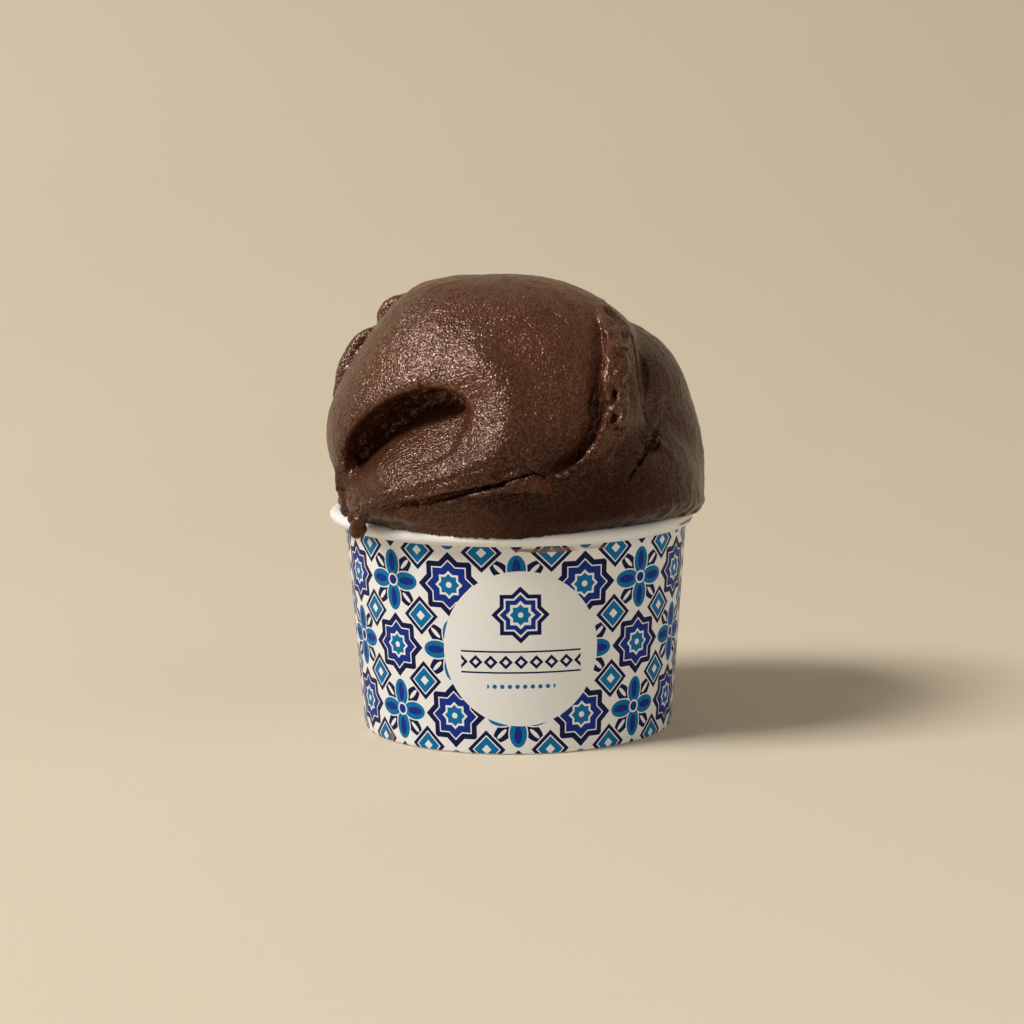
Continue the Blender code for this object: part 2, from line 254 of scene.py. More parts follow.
def smooth_rows(rows, steps=6):
    """Rows of any width read along a smooth curve through them."""
    p = np.array(rows, float)
    p = np.vstack([2 * p[0] - p[1], p, 2 * p[-1] - p[-2]])
    out = []
    for a, b, c, d in zip(p, p[1:], p[2:], p[3:]):
        for t in np.linspace(0, 1, steps, endpoint=False):
            out.append(0.5 * (2 * b + (c - a) * t + (2 * a - 5 * b + 4 * c - d) * t ** 2
                              + (3 * b - a - 3 * c + d) * t ** 3))
    out.append(p[-2])
    return np.array(out)


def waver(count, seed):
    """A run of values from -1 to 1 that wander unevenly."""
    knots = np.arange(count // 3 + 2)
    values = np.random.default_rng(seed).uniform(-1, 1, len(knots))
    return np.interp(np.arange(count) / 3, knots, values)


def ragged(rows, amount, seed):
    """Rows of (x, z, radius, height) made uneven in radius and height, as a torn edge is."""
    rows = smooth_rows(rows, 8)
    rows[:, 2] *= 1 + amount * waver(len(rows), seed)
    rows[:, 3] += 0.7 * amount * waver(len(rows), seed + 100)
    return rows


def rumple(x, y, z, size, seed):
    """Smooth random lumps of a size in millimetres, about from -1 to 1."""
    chance = np.random.default_rng(seed)
    total = 0
    for _ in range(8):
        way = chance.normal(size=3)
        way *= chance.uniform(0.7, 1.4) * math.tau / (size * np.linalg.norm(way))
        total = total + np.sin(x * way[0] + y * way[1] + z * way[2] + chance.uniform(0, math.tau))
    return total / 3


class Clay:
    """A grid of signed distances in millimetres, below zero inside."""

    def __init__(self, voxel, low, high):
        self.voxel = voxel
        self.low = np.array(low, float)
        self.axes = [np.arange(a, b, voxel, dtype=np.float32) for a, b in zip(low, high)]
        self.field = np.full([len(a) for a in self.axes], FAR_AWAY, np.float32)
        self.x, self.y, self.z = self.part(low, high)[1:]
        self.flat_x, self.flat_z = np.meshgrid(self.axes[0], self.axes[2], indexing="ij")

    def part(self, low, high):
        """The slices of the grid that hold a box, with its x, y and z."""
        cut = tuple(slice(int(np.searchsorted(axis, a)), int(np.searchsorted(axis, b)))
                    for axis, a, b in zip(self.axes, low, high))
        x, y, z = (axis[s] for axis, s in zip(self.axes, cut))
        return cut, x[:, None, None], y[None, :, None], z[None, None, :]

    def ellipsoid(self, centre, radii, turn=(0, 0, 0), place=None):
        """About the distance to an ellipsoid turned in degrees about X, then Y, then Z."""
        _, x, y, z = place or (None, self.x, self.y, self.z)
        turned = Matrix.Identity(3)
        for angle, axis in zip(turn, "XYZ"):
            turned = Matrix.Rotation(math.radians(angle), 3, axis) @ turned
        near = far = np.float32(0)
        for row, radius in zip(np.array(turned.transposed(), np.float32), radii):
            q = (row[0] * (x - centre[0]) + row[1] * (y - centre[1]) + row[2] * (z - centre[2])) / radius
            near = near + q * q
            far = far + (q / radius) ** 2
        near = np.sqrt(near)
        return near * (near - 1) / np.sqrt(far + 1e-12)

    def add(self, shape, blend, cut=...):
        self.field[cut] = blend_min(self.field[cut], shape, blend)

    def carve(self, shape, blend, cut=...):
        self.field[cut] = blend_max(self.field[cut], -shape, blend)

    def strand(self, rows, blend, carve=False):
        """Adds or carves a run of round cones through rows of (x, y, z, radius)."""
        rows = np.asarray(rows, float)
        reach = rows[:, 3].max() + 3
        cut, x, y, z = self.part(rows[:, :3].min(0) - reach, rows[:, :3].max(0) + reach)
        shape = np.float32(FAR_AWAY)
        for a, b in zip(rows, rows[1:]):
            way = b - a
            length = max(float(way[:3] @ way[:3]), 1e-9)
            px, py, pz = x - a[0], y - a[1], z - a[2]
            t = np.clip((px * way[0] + py * way[1] + pz * way[2]) / length, 0, 1)
            gap = np.sqrt((px - t * way[0]) ** 2 + (py - t * way[1]) ** 2 + (pz - t * way[2]) ** 2)
            shape = np.minimum(shape, gap - a[3] - t * way[3])
        (self.carve if carve else self.add)(shape, blend, cut)

    def flat_strand(self, rows, blend):
        """Adds a run of ellipsoids through rows of (x, y, z, x radius, y radius, z radius)."""
        reach = rows[:, 3:].max() + 3
        place = self.part(rows[:, :3].min(0) - reach, rows[:, :3].max(0) + reach)
        shape = np.float32(FAR_AWAY)
        for row in rows:
            shape = np.minimum(shape, self.ellipsoid(row[:3], row[3:], place=place))
        self.add(shape, blend, place[0])

    def surface_y(self, x, z):
        """Where the surface lies at each (x, z), seen from the front."""
        fx, fz = (x - self.low[0]) / self.voxel, (z - self.low[2]) / self.voxel
        i, k = np.floor(fx).astype(int), np.floor(fz).astype(int)
        a, b = (fx - i)[:, None], (fz - k)[:, None]
        f = self.field
        column = ((f[i, :, k] * (1 - a) + f[i + 1, :, k] * a) * (1 - b)
                  + (f[i, :, k + 1] * (1 - a) + f[i + 1, :, k + 1] * a) * b)
        y = self.axes[1]
        j = np.maximum(np.argmax(column < 0, axis=1), 1)
        row = np.arange(len(j))
        outer, inner = column[row, j - 1], column[row, j]
        return y[j - 1] + (y[j] - y[j - 1]) * outer / (outer - inner + 1e-9)

    def drape(self, rows, smooth=True):
        """Rows of (x, z, radius, height) laid on the surface, as rows of (x, y, z, radius)."""
        x, z, radius, height = (smooth_rows(rows) if smooth else rows).T
        return np.column_stack([x, self.surface_y(x, z) - height, z, radius])

    def line(self, points):
        """Over the x-z plane: the distance to a curve, above zero on its left and below on its right, and
        the share of the way along it."""
        p = smooth_rows(points, 10)
        x, z = self.flat_x, self.flat_z
        best, side, along, run = np.full(x.shape, 1e9), np.ones(x.shape), np.zeros(x.shape), 0.0
        for a, b in zip(p, p[1:]):
            way = b - a
            length = float(np.hypot(*way)) + 1e-9
            t = np.clip(((x - a[0]) * way[0] + (z - a[1]) * way[1]) / length ** 2, 0, 1)
            dx, dz = x - a[0] - t * way[0], z - a[1] - t * way[1]
            gap = np.hypot(dx, dz)
            near = gap < best
            best = np.where(near, gap, best)
            side = np.where(near, np.sign(way[0] * dz - way[1] * dx), side)
            along = np.where(near, run + t * length, along)
            run += length
        return best * side, along / run

    def spot(self, x, z, radius):
        return np.exp(-((self.flat_x - x) ** 2 + (self.flat_z - z) ** 2) / radius ** 2)

    def relief(self, height, full=-9.0, none=-1.0, behind=False):
        """Raises the front or the back of the surface by a height over the x-z plane. The height is full
        outside one y and fades to none at another."""
        y = self.axes[1]
        share = 1 - smooth_step(full, none, -y if behind else y)
        self.field -= (height[:, None, :] * share[None, :, None]).astype(np.float32)


def add_lobes(clay):
    """The dome with its lobes, its lumpy hollow and its tongue, and the base layer under it."""
    for centre, radii in DOME.values():
        clay.add(clay.ellipsoid(centre, radii), blend=9.0)
    lobe = blend_min(clay.ellipsoid(*RIGHT_LOBE), clay.ellipsoid(*RIGHT_SHOULDER), blend=4.0)
    clay.add(lobe, blend=0.9)
    clay.add(clay.ellipsoid(*BACK_LOBE), blend=6.0)
    deep = smooth_step(2.5, 6.0, -clay.field)
    lumps = 0.6 * rumple(clay.x, clay.y, clay.z, size=5.0, seed=3)
    lumps = lumps + 0.35 * rumple(clay.x, clay.y, clay.z, size=2.4, seed=4)
    clay.carve(clay.ellipsoid(*HOLLOW) + deep * lumps, blend=3.4)
    clay.add(clay.ellipsoid(*TONGUE), blend=6.0)
    clay.carve(clay.z - DOME_FOOT, blend=3.0)
    top = BASE_TOP + BASE_SLOPE * clay.x + BASE_BEND * np.maximum(clay.x - BEND_FROM, 0) ** 2
    base = blend_max(clay.ellipsoid(*BASE_LAYER), clay.z - np.maximum(top, BASE_TOP_LEAST), blend=2.0)
    clay.add(blend_min(base, clay.ellipsoid(*MANTLE), blend=6.0), blend=1.2)


def ease_front(clay):
    """Fills the front under the fold, raises the roll round the hollow's end and dishes the tongue."""
    clay.relief(sum(rise * clay.spot(*place) for rise, *place in SWELLINGS))
    gap, along = clay.line(ROLL)
    roll = ROLL_RISE * np.exp(-(gap / ROLL_WIDTH) ** 2) * smooth_step(0, 0.2, along)
    roll = roll * (1 - 0.6 * smooth_step(0.7, 1, along))
    dish, *place = DISH
    clay.relief(roll + dish * clay.spot(*place))


def layer_edge(side, over, rise, reach, drop, drop_reach):
    """A layer lying over the one below, at a line: raised on its left side and sunk just past it."""
    raised = rise * over * (1 - smooth_step(0, reach, side))
    sunk = drop * (1 - over) * (1 - smooth_step(0, drop_reach, -side))
    return raised - sunk


def lay_back_folds(clay):
    for points in BACK_FOLDS.values():
        side, along = clay.line(points)
        over = smooth_step(-0.9, 0.5, side)
        height = layer_edge(side, over, rise=1.5, reach=15.0, drop=1.1, drop_reach=3.5)
        ends = smooth_step(0, 0.06, along)
        clay.relief(height * ends * (1 - smooth_step(0.93, 1, along)), behind=True)


def lay_seam_and_lip(clay):
    """Below, the dome lies over the base layer. Up its right side the flap's torn lip lies over it."""
    x, z = clay.flat_x, clay.flat_z
    side, along = clay.line(SEAM + LIP)
    dome = smooth_step(-0.35, 0.35, side)
    skirt = layer_edge(side, dome, rise=1.2, reach=12, drop=0.7, drop_reach=4)
    # the torn band, highest low down and fading towards the crown
    knobs = 1 + 0.5 * rumple(x, 0, z, size=3.0, seed=11) + 0.4 * rumple(x, 0, z, size=1.8, seed=12)
    width = np.interp(z, LIP_WIDTH_AT, LIP_WIDTHS)
    band = (1 - dome) * (1 - smooth_step(-0.8, 0.8, -side - width))
    sunk_dome = -1.0 * dome * (1 - smooth_step(0, 3.5, side))
    raised_flap = 0.8 * (1 - dome) * (1 - smooth_step(0.5, 9, -side))
    lip = sunk_dome + raised_flap + 1.5 * band * knobs
    lip = lip * (1 - 0.5 * smooth_step(80, 88, z) - 0.3 * smooth_step(93, 98, z))
    # the skirt's edge turns into the lip where the seam turns up
    lip_share = smooth_step(4, 11, x + 0.25 * (z - 64))
    ends = smooth_step(0, 0.05, along) * (1 - smooth_step(0.93, 1, along))
    clay.relief((skirt * (1 - lip_share) + lip * lip_share) * ends)

    # the flap between the lip and its far side, and lumps beside the crack
    far_side, _ = clay.line(FLAP_SIDE)
    flap = smooth_step(-1.2, 0.6, -far_side) * smooth_step(-1, 2, -side)
    flap = flap * smooth_step(70, 78, z) * (1 - smooth_step(90, 97, z))
    clay.relief(1.2 * flap, full=-2.0, none=6.0)
    beside_crack = clay.spot(31.0, 69.5, 4.0)
    clay.relief(beside_crack * (0.6 * rumple(x, 0, z, size=3.0, seed=13) - 0.2))


def torn_strands():
    """Short uneven strands side by side along the lip, as rows of (x, z, radius, height)."""
    chance = np.random.default_rng(7)
    lip = smooth_rows(LIP[2:], 6)
    strands = []
    for lane in range(TORN_LANES):
        first = 0
        while first < len(lip) - 8:
            last = min(first + int(chance.integers(7, 20)), len(lip))
            part = lip[first:last]
            width = np.interp(part[:, 1], LIP_WIDTH_AT, LIP_WIDTHS)
            across = width * (0.1 + LANE_STEP * lane) + 0.5 * waver(len(part), int(chance.integers(1000)))
            radius = chance.uniform(0.5, 0.9) * np.sin(np.linspace(0.5, math.pi - 0.5, len(part)))
            height = chance.uniform(0.0, 0.7) + 0.3 * waver(len(part), int(chance.integers(1000)))
            strands.append(np.column_stack([part[:, 0] + across, part[:, 1], radius, height]))
            first = last + int(chance.integers(0, 4))
    return strands


def add_narrow_features(clay):
    for seed, rows in enumerate(CREVICES.values()):
        clay.strand(clay.drape(ragged(rows, amount=0.3, seed=seed)), blend=0.35, carve=True)
    for seed, rows in enumerate(LIP_STRANDS.values(), 20):
        clay.strand(clay.drape(ragged(rows, amount=0.5, seed=seed)), blend=0.6)
    strands = [clay.drape(rows, smooth=False) for rows in torn_strands()]
    for rows in strands:
        clay.strand(rows, blend=0.8)
    x, z, height, *radii = smooth_rows(FLAKE).T
    radii = np.array(radii) * (1 + 0.35 * waver(len(x), seed=91))
    clay.flat_strand(np.column_stack([x, clay.surface_y(x, z) - height, z, *radii]), blend=0.5)
    for rows in LEFT_FLAPS.values():
        flap = smooth_rows(rows)
        clay.flat_strand(flap, blend=0.6)
        clay.flat_strand(flap + FLAP_BACKING, blend=3.0)
    for points in CREASES:
        gap, along = clay.line(points)
        groove = -CREASE_DEPTH * np.exp(-(gap / CREASE_WIDTH) ** 2)
        clay.relief(groove * np.sin(np.clip(along, 0, 1) * math.pi))


def trim_to_the_cup(clay):
    """Trims the base layer to its drooping edge and to the inside of the cup."""
    x, y, z = clay.x, clay.y, clay.z
    radius = np.sqrt(x * x + y * y)
    angle = np.degrees(np.arctan2(y, x))
    turns, reaches, edges = zip(*DROOP)
    uneven = sum(height * np.sin(np.radians(angle * count + shift)) for height, count, shift in EDGE_WAVES)
    reach = np.interp(angle, turns, reaches).astype(np.float32) + uneven
    edge = np.interp(angle, turns, edges).astype(np.float32) + 0.6 * uneven
    flare = BASE_FLARE * np.maximum(z - FLARE_FROM, 0)
    clay.field = blend_max(clay.field, radius - reach - flare, blend=1.5)
    clay.field = np.where(radius > RIM_CENTRE_R, blend_max(clay.field, edge - z, blend=1.2), clay.field)
    inside = np.where((z < RIM_CENTRE_Z) & (radius < RIM_CENTRE_R), radius - PLUG_RADIUS, -FAR_AWAY)
    clay.field = np.maximum(clay.field, inside)


def rim_squash(rightward):
    """The share of its width that the rim's roll loses, given 1 at the right and 0 at the front and back."""
    return RIM_SQUASH * smooth_step(0.55, 1.0, rightward)


def clear_the_rim(clay):
    radius = np.sqrt(clay.x * clay.x + clay.y * clay.y)
    half_width = RIM_HALF_WIDTH * (1 - rim_squash(clay.x / np.maximum(radius, 1)))
    across = (radius - RIM_INNER - half_width) / (half_width + RIM_SPARE)
    rim = np.sqrt(across ** 2 + ((clay.z - RIM_CENTRE_Z) / RIM_CLEAR_HALF_HEIGHT) ** 2) - 1
    clay.field = np.maximum(clay.field, -RIM_CLEAR_RADIUS * rim)


def gelato_clay():
    low = (GELATO_LOW.x - GRID_MARGIN, GELATO_LOW.y - GRID_MARGIN, GRID_FLOOR)
    high = (GELATO_HIGH.x + GRID_MARGIN, GELATO_HIGH.y + GRID_MARGIN, GELATO_HIGH.z + GRID_MARGIN)
    clay = Clay(VOXEL, low, high)
    add_lobes(clay)
    ease_front(clay)
    lay_seam_and_lip(clay)
    lay_back_folds(clay)
    add_narrow_features(clay)
    trim_to_the_cup(clay)
    for seed, rows in enumerate(STRANDS.values(), 60):
        rows = smooth_rows(rows, 8)
        rows[:, 3] *= 1 + 0.2 * waver(len(rows), seed)
        clay.strand(rows, blend=1.0)
    clear_the_rim(clay)
    return clay


def new_object(name, data, *materials):
    """An object in the scene from a mesh, a light or a camera."""
    thing = bpy.data.objects.new(name, data)
    bpy.context.scene.collection.objects.link(thing)
    for material in materials:
        data.materials.append(material)
    return thing


def grain_at(place, grains):
    """The height of several grains together, each of its own height and size."""
    return sum(height * noise.noise(place / size) for height, size in grains)


def roughened(place, normal):
    """A point of the skin moved by soft lumps and the grain of churned gelato, more where it is torn."""
    grain = grain_at(place, SKIN_GRAIN)
    if place.y < 0:
        torn = max(math.exp(-((place.x - x) / w) ** 2 - ((place.z - z) / h) ** 2) for x, z, w, h in TORN)
        grain += torn * grain_at(place, TORN_GRAIN)
    return place + normal * grain


def gelato_mesh():
    """The clay's surface, roughened, with a plain plug drawn down from its open edge to fill the cup."""
    clay = gelato_clay()
    grid = openvdb.FloatGrid(GRID_BAND)
    near = np.clip(clay.field, -GRID_BAND, GRID_BAND)
    grid.copyFromArray(np.ascontiguousarray(near, dtype=np.float32))
    points, _, quads = grid.convertToPolygons(isovalue=0.0, adaptivity=0.0)
    mesh = bpy.data.meshes.new("gelato_heap")
    mesh.from_pydata((points * clay.voxel + clay.low).tolist(), [], quads[:, ::-1].tolist())
    mesh.update()

    bm = bmesh.new()
    bm.from_mesh(mesh)
    cap = [v for v in bm.verts if v.co.z < GRID_FLOOR + 1.5 * clay.voxel]
    bmesh.ops.delete(bm, geom=cap, context="VERTS")
    bm.normal_update()
    for v in bm.verts:
        v.co = roughened(v.co, v.normal)
    start = min(v.co.z for v in bm.verts)
    for height in (RIM_CENTRE_Z - PLUG_BEND, GELATO_LOW.z + PLUG_GAP):
        edges = [e for e in bm.edges if e.is_boundary]
        ring = bmesh.ops.extrude_edge_only(bm, edges=edges)["geom"]
        share = (start - height) / (start - GELATO_LOW.z)
        radius = PLUG_RADIUS + (PLUG_FOOT_RADIUS - PLUG_RADIUS) * share
        for v in ring:
            if isinstance(v, bmesh.types.BMVert):
                flat = Vector((v.co.x, v.co.y)).normalized() * radius
                v.co = (flat.x, flat.y, height)
    edges = [e for e in bm.edges if e.is_boundary]
    bmesh.ops.contextual_create(bm, geom=edges)
    bmesh.ops.recalc_face_normals(bm, faces=bm.faces)
    bmesh.ops.scale(bm, vec=(MM, MM, MM), verts=bm.verts)
    bmesh.ops.triangulate(bm, faces=bm.faces)
    bm.to_mesh(mesh)
    bm.free()
    return thinned(mesh)


def thinned(mesh):
    """The same skin with fewer triangles where it is flat."""
    dense = new_object("dense_gelato", mesh)
    decimate = dense.modifiers.new("thin", "DECIMATE")
    decimate.ratio = GELATO_TRIANGLES / len(mesh.polygons)
    evaluated = dense.evaluated_get(bpy.context.evaluated_depsgraph_get())
    thin_mesh = bpy.data.meshes.new_from_object(evaluated)
    bpy.data.objects.remove(dense)
    thin_mesh.name = "gelato_heap"
    thin_mesh.shade_smooth()
    return thin_mesh


# ---------------- material nodes written as formulas
class Number:
    """A number in a material's node tree. Arithmetic on it adds Math nodes."""

    def __init__(self, tree, socket):
        self.tree = tree
        self.socket = socket

    def math(self, operation, *others):
        node = self.tree.nodes.new("ShaderNodeMath")
        node.operation = operation
        for slot, value in zip(node.inputs, (self, *others)):
            if isinstance(value, Number):
                self.tree.links.new(value.socket, slot)
            else:
                slot.default_value = value
        return Number(self.tree, node.outputs[0])

    def __add__(self, other):
        return self.math("ADD", other)

    def __sub__(self, other):
        return self.math("SUBTRACT", other)

    def __rsub__(self, other):
        return self * -1.0 + other

    def __mul__(self, other):
        return self.math("MULTIPLY", other)

    def __truediv__(self, other):
        return self.math("DIVIDE", other)

    def __abs__(self):
        return self.math("ABSOLUTE")

    def below(self, limit):
        return self.math("LESS_THAN", limit)

    def least(self, other):
        return self.math("MINIMUM", other)

    def most(self, other):
        return self.math("MAXIMUM", other)

    def ramp(self, low, high, start=0.0, end=1.0):
        """Goes evenly from start at low to end at high."""
        node = self.tree.nodes.new("ShaderNodeMapRange")
        node.interpolation_type = "SMOOTHSTEP"
        for name, value in (("From Min", low), ("From Max", high), ("To Min", start), ("To Max", end)):
            node.inputs[name].default_value = value
        self.tree.links.new(self.socket, node.inputs["Value"])
        return Number(self.tree, node.outputs["Result"])

    def between(self, low, full, last, high):
        """Goes from 0 at low to 1 at full, and from 1 at last back to 0 at high."""
        return self.ramp(low, full) * self.ramp(last, high, 1.0, 0.0)


class Finish:
    """A material with its Principled shader, and helpers for what its sockets take."""

    def __init__(self, name, roughness, specular=0.5):
        self.material = bpy.data.materials.new(name)
        self.material.use_nodes = True
        self.tree = self.material.node_tree
        self.shader = self.tree.nodes["Principled BSDF"]
        self.shader.inputs["Roughness"].default_value = roughness
        self.shader.inputs["Specular IOR Level"].default_value = specular
        self.place = self.tree.nodes.new("ShaderNodeTexCoord").outputs["Object"]

    def axes(self):
        """The place on the object in millimetres: x, y and z."""
        node = self.tree.nodes.new("ShaderNodeSeparateXYZ")
        self.tree.links.new(self.place, node.inputs[0])
        return [Number(self.tree, output) / MM for output in node.outputs]

    def noise(self, size, detail=2.0, stretch=(1, 1, 1)):
        """Noise from 0 to 1, with lumps of a size in millimetres."""
        mapping = self.tree.nodes.new("ShaderNodeMapping")
        mapping.inputs["Scale"].default_value = stretch
        node = self.tree.nodes.new("ShaderNodeTexNoise")
        node.inputs["Scale"].default_value = 1 / (size * MM)
        node.inputs["Detail"].default_value = detail
        self.tree.links.new(self.place, mapping.inputs["Vector"])
        self.tree.links.new(mapping.outputs[0], node.inputs["Vector"])
        return Number(self.tree, node.outputs["Fac"])

    def mix(self, share, first, second):
        """A colour between two, each a colour socket or three numbers."""
        node = self.tree.nodes.new("ShaderNodeMix")
        node.data_type = "RGBA"
        self.tree.links.new(share.socket, node.inputs["Factor"])
        for slot, value in ((node.inputs[6], first), (node.inputs[7], second)):
            if isinstance(value, tuple):
                slot.default_value = (*value, 1.0)
            else:
                self.tree.links.new(value, slot)
        return node.outputs[2]

    def rings(self, under, field, *rings):
        """A colour painted over with others, widest first, each where a field is below its limit."""
        for limit, paint in rings:
            under = self.mix(field.below(limit), under, paint)
        return under

    def colour(self, socket):
        self.tree.links.new(socket, self.shader.inputs["Base Color"])

    def roughness(self, number):
        self.tree.links.new(number.socket, self.shader.inputs["Roughness"])

    def specular(self, number):
        self.tree.links.new(number.socket, self.shader.inputs["Specular IOR Level"])

    def bump(self, height, depth):
        """Relief from a number, 1 standing a depth in millimetres above 0."""
        node = self.tree.nodes.new("ShaderNodeBump")
        node.inputs["Distance"].default_value = depth * MM
        node.inputs["Strength"].default_value = 1.0
        self.tree.links.new(height.socket, node.inputs["Height"])
        self.tree.links.new(node.outputs["Normal"], self.shader.inputs["Normal"])


def oval(x, y, middle, half_sizes):
    """0 at the middle of an oval and 1 along its edge."""
    across = (x - middle[0]) / half_sizes[0]
    up = (y - middle[1]) / half_sizes[1]
    return across * across + up * up


# Colours of the gelato, with painted shade and painted light among them, and the places on its front where
# painted light makes the torn flake and lip lighter and warmer: middle and half sizes in x, z.
CHOCOLATE = (0.071, 0.0208, 0.0078)
MILKY_CHOCOLATE = (0.088, 0.0266, 0.0102)
PAINTED_SHADE_CHOCOLATE = (0.020, 0.0060, 0.0026)
PAINTED_LIGHT_CHOCOLATE = (0.120, 0.038, 0.0150)
GRAIN_SHADE_CHOCOLATE = (0.036, 0.0105, 0.004)
GLOSS_TINT = (1.0, 0.76, 0.64, 1.0)
FLAKE_LIGHT_PATCH = ((3.0, 61.6), (7.07, 2.0))
LIP_LIGHT_PATCH = ((20.5, 70.0), (2.65, 7.75))


def gelato_finish():
    """Churned, grainy gelato on the dome, and smoother gelato low down and at the right, where it has begun
    to melt, with painted shade darkening it there."""
    finish = Finish("chocolate_gelato", roughness=0.29)
    finish.shader.inputs["IOR"].default_value = 1.7
    finish.shader.inputs["Specular Tint"].default_value = GLOSS_TINT
    x, y, z = finish.axes()

    # grain, finest on the dome, with streaks that run down the right side and round the base layer
    churned = z.ramp(54.0, 65.0, 0.4, 1.0) * x.ramp(14.0, 28.0, 1.0, 0.7)
    grain = (finish.noise(0.55, detail=1.0) - 0.5) * churned + 0.5
    down_streaks = finish.noise(1.4, stretch=(1, 1, 0.2)) * x.ramp(12.0, 26.0, 0.4, 1.0)
    round_streaks = finish.noise(1.4, stretch=(0.3, 0.3, 1)) * z.ramp(56.0, 66.0, 1.0, 0.2)

    # soft patches of two browns, with painted shade low down and at the right, painted light on the torn
    # flake and lip, and painted shade in the grain's hollows
    patches = finish.noise(9.0, detail=3.0)
    skin = finish.mix(patches.ramp(0.35, 0.65), CHOCOLATE, MILKY_CHOCOLATE)
    # painted shade: darker low down and at the right, where the surfaces face away from the key light
    shade_low_down = z.ramp(54.0, 88.0, 1.0, 0.0) * x.ramp(20.0, 36.0, 1.0, 0.7)
    painted_shade = shade_low_down.most(x.ramp(18.0, 30.0, 0.0, 0.6)) * x.ramp(-20.0, 4.0, 0.5, 1.0)
    skin = finish.mix(painted_shade, skin, PAINTED_SHADE_CHOCOLATE)
    # painted light: lighter, warmer brown on the torn flake and the lip's lower part, as light on their
    # upward facets and thin edges
    flake_light = oval(x, z, *FLAKE_LIGHT_PATCH).ramp(0.0, 1.2, 0.38, 0.0)
    torn = oval(x, z, *LIP_LIGHT_PATCH).ramp(0.0, 1.2, 0.38, 0.0)
    front = y.ramp(-20.0, -8.0, 1.0, 0.0)
    skin = finish.mix(flake_light.most(torn) * front, skin, PAINTED_LIGHT_CHOCOLATE)
    # painted shade in the grain's hollows, where the grain shades itself
    finish.colour(finish.mix(grain.ramp(0.2, 0.68, 0.28, 0.0), skin, GRAIN_SHADE_CHOCOLATE))

    # the grain's crests shine, and less where shade is painted low down and at the right
    finish.specular(grain.ramp(0.40, 0.64, 0.2, 1.0) * (painted_shade * -0.8 + 1.0))
    relief = grain * 1.5 + finish.noise(1.2, detail=1.0) * 0.3 + down_streaks * 0.7 + round_streaks * 0.6
    finish.bump(relief, depth=0.25)
    return finish.material


# ---------------- the cup
def arc(centre, half_width, half_height, start, end, steps):
    """Points along part of an ellipse, from one angle to another."""
    angles = [start + (end - start) * i / steps for i in range(steps + 1)]
    return [(centre[0] + half_width * math.cos(a), centre[1] + half_height * math.sin(a)) for a in angles]


def wall_radius(z):
    """Radius of the middle of the wall's paper at a height."""
    return FOOT_MIDDLE + WALL_TAPER * z


def wall_middle():
    """From the curled-under end of the rim, over it, down the wall, and up inside the foot."""
    rim_centre = (RIM_CENTRE_R, RIM_CENTRE_Z)
    curl = arc(rim_centre, RIM_HALF_WIDTH, RIM_HALF_HEIGHT, math.radians(-120), math.pi, steps=28)
    low = WALL_PAPER / 2 + FOLD_CORNER
    wall = [(wall_radius(z), z) for z in np.linspace(RIM_CENTRE_Z - 2, low + 1, 24)]
    outer_centre = (wall_radius(low) - FOLD_CORNER, low)
    outer_bend = arc(outer_centre, FOLD_CORNER, FOLD_CORNER, 0, -math.pi / 2, steps=5)
    inner_centre = (wall_radius(low) - FOLD_SPACING + FOLD_CORNER, low)
    inner_bend = arc(inner_centre, FOLD_CORNER, FOLD_CORNER, -math.pi / 2, -math.pi, steps=5)
    fold_end = (wall_radius(FOLD_HEIGHT) - FOLD_SPACING, FOLD_HEIGHT)
    return np.array(curl + wall + outer_bend + inner_bend + [fold_end])


def wall_section():
    """The paper's whole section: its middle line offset to both sides."""
    middle = wall_middle()
    way = np.gradient(middle, axis=0)
    way /= np.linalg.norm(way, axis=1)[:, None]
    across = np.column_stack([way[:, 1], -way[:, 0]]) * (WALL_PAPER / 2)
    return np.vstack([middle - across, (middle + across)[::-1]])


def bent(r, z, step):
    """The rim stands a little higher and wider at the left, where the gelato was pressed in, its roll is
    squashed at the right, and the wall is two papers thick where its ends are glued at the back."""
    angle = math.tau * step / TURN_STEPS
    near = math.exp(-(((math.degrees(angle) - PRESSED_TURN) / PRESSED_SPREAD) ** 2))
    pressed = float(smooth_step(*PRESSED_HEIGHTS, z)) * near
    overlap = SEAM_RISE if step < SEAM_STEPS else 0.0
    outside = max(r - RIM_INNER, 0) if z > RIM_LOW - WALL_PAPER else 0.0
    r -= outside * float(rim_squash(math.sin(angle)))
    return r + PRESSED_OUT * pressed + overlap, z + PRESSED_UP * pressed


def cup_wall_mesh():
    """The wall's section turned round, with a UV map that runs round the cup and along the section."""
    section = wall_section()
    run = np.concatenate([[0], np.cumsum(np.linalg.norm(np.diff(section, axis=0), axis=1))])
    run /= run[-1] + WALL_PAPER
    count = len(section)
    bm = bmesh.new()
    rings = []
    for step in range(TURN_STEPS):
        angle = math.tau * step / TURN_STEPS
        sine, cosine = math.sin(angle), math.cos(angle)
        ring = [bent(r, z, step) for r, z in section]
        rings.append([bm.verts.new((r * sine * MM, r * cosine * MM, z * MM)) for r, z in ring])
    layer = bm.loops.layers.uv.new("OFBake")
    for step in range(TURN_STEPS):
        here, there = rings[step], rings[(step + 1) % TURN_STEPS]
        for i in range(count):
            j = (i + 1) % count
            face = bm.faces.new((here[i], there[i], there[j], here[j]))
            u = (step / TURN_STEPS, (step + 1) / TURN_STEPS)
            v = (run[i], run[j] if j else 1.0)
            for loop, place in zip(face.loops, ((u[0], v[0]), (u[1], v[0]), (u[1], v[1]), (u[0], v[1]))):
                loop[layer].uv = place
    bmesh.ops.recalc_face_normals(bm, faces=bm.faces)
    mesh = bpy.data.meshes.new("printed_cup")
    bm.to_mesh(mesh)
    bm.free()
    mesh.shade_smooth()
    return mesh


